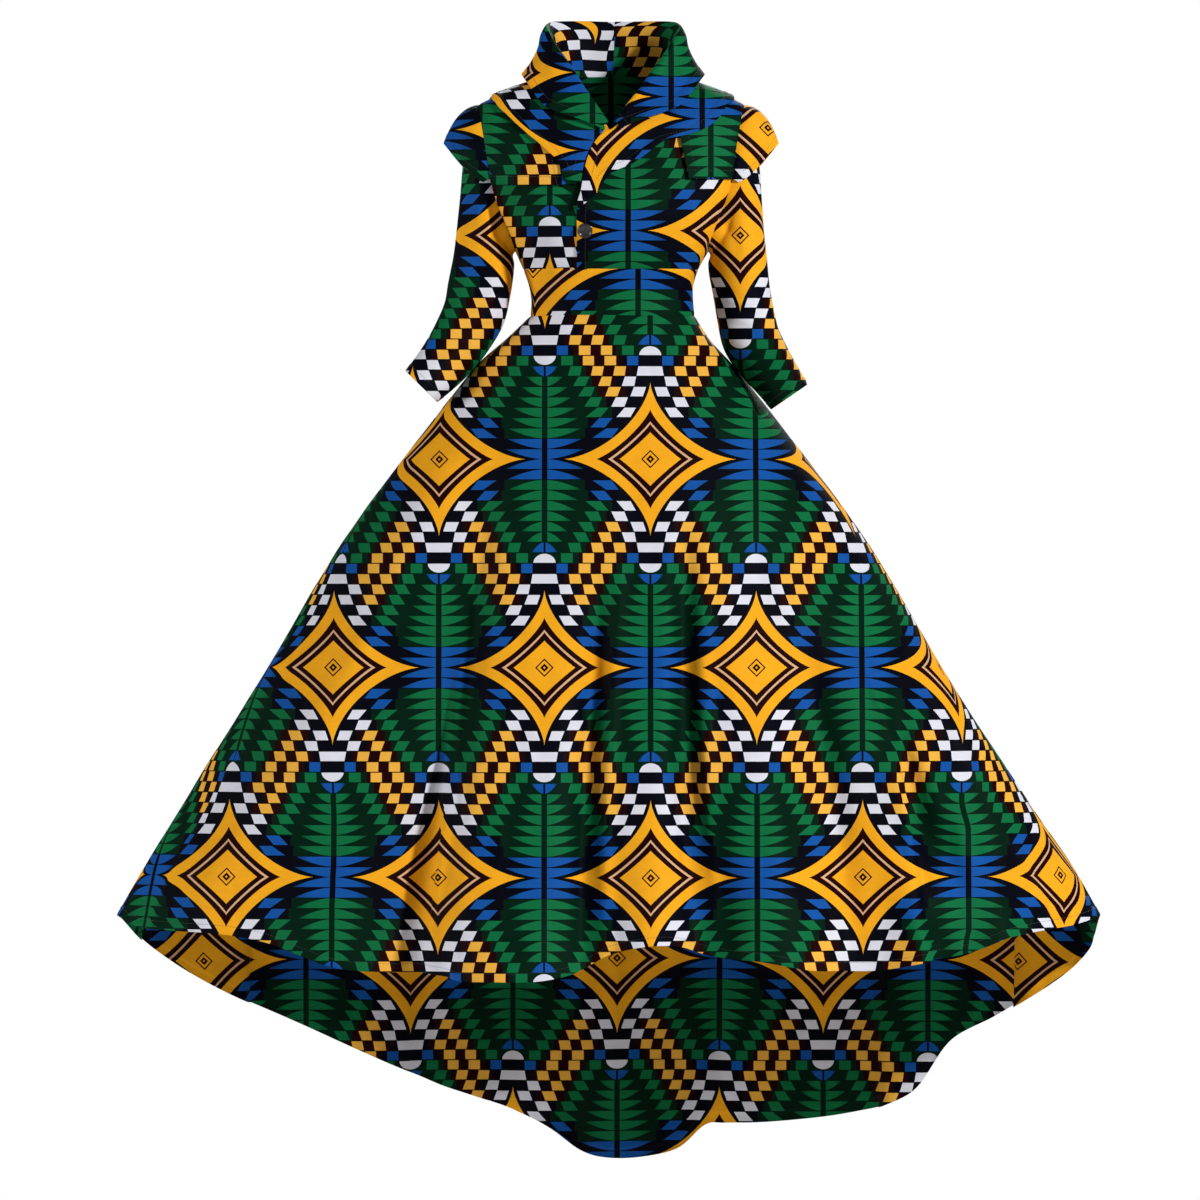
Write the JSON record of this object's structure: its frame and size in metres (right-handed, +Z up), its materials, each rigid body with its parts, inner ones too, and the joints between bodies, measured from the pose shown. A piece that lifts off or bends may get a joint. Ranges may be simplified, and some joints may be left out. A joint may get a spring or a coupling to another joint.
{
  "type": "bazin dress",
  "caption": "Long wax-print dress, worn and hollow: stand-and-fall collar, wide lapels, shoulder flaps, cap wings, one-button wrap, midriff band, high-low skirt",
  "frame": {"origin": "between the shoulders at the base of the neck, where the wearer's shoulders hold the dress", "axes": "+X toward the wearer's left, front faces -Y, +Z up; hem below the origin"},
  "size_m": [1.298, 0.928, 1.5159],
  "materials": {
    "print_cloth": "woven cotton with a soft wax shine, star, check and leaf print",
    "button_resin": "dark polished resin"
  },
  "bodies": {
    "root": {"skirt_front": "print_cloth", "skirt_back": "print_cloth", "sleeve_left": "print_cloth", "sleeve_right": "print_cloth", "collar": "print_cloth", "bodice_back": "print_cloth", "bodice_front_left": "print_cloth", "bodice_front_right": "print_cloth", "band_front": "print_cloth", "band_back": "print_cloth", "lapel_left": "print_cloth", "lapel_right": "print_cloth", "shoulder_flap_left": "print_cloth", "shoulder_flap_right": "print_cloth", "cap_wing_left": "print_cloth", "cap_wing_right": "print_cloth", "button": "button_resin"}
  },
  "joints": []
}
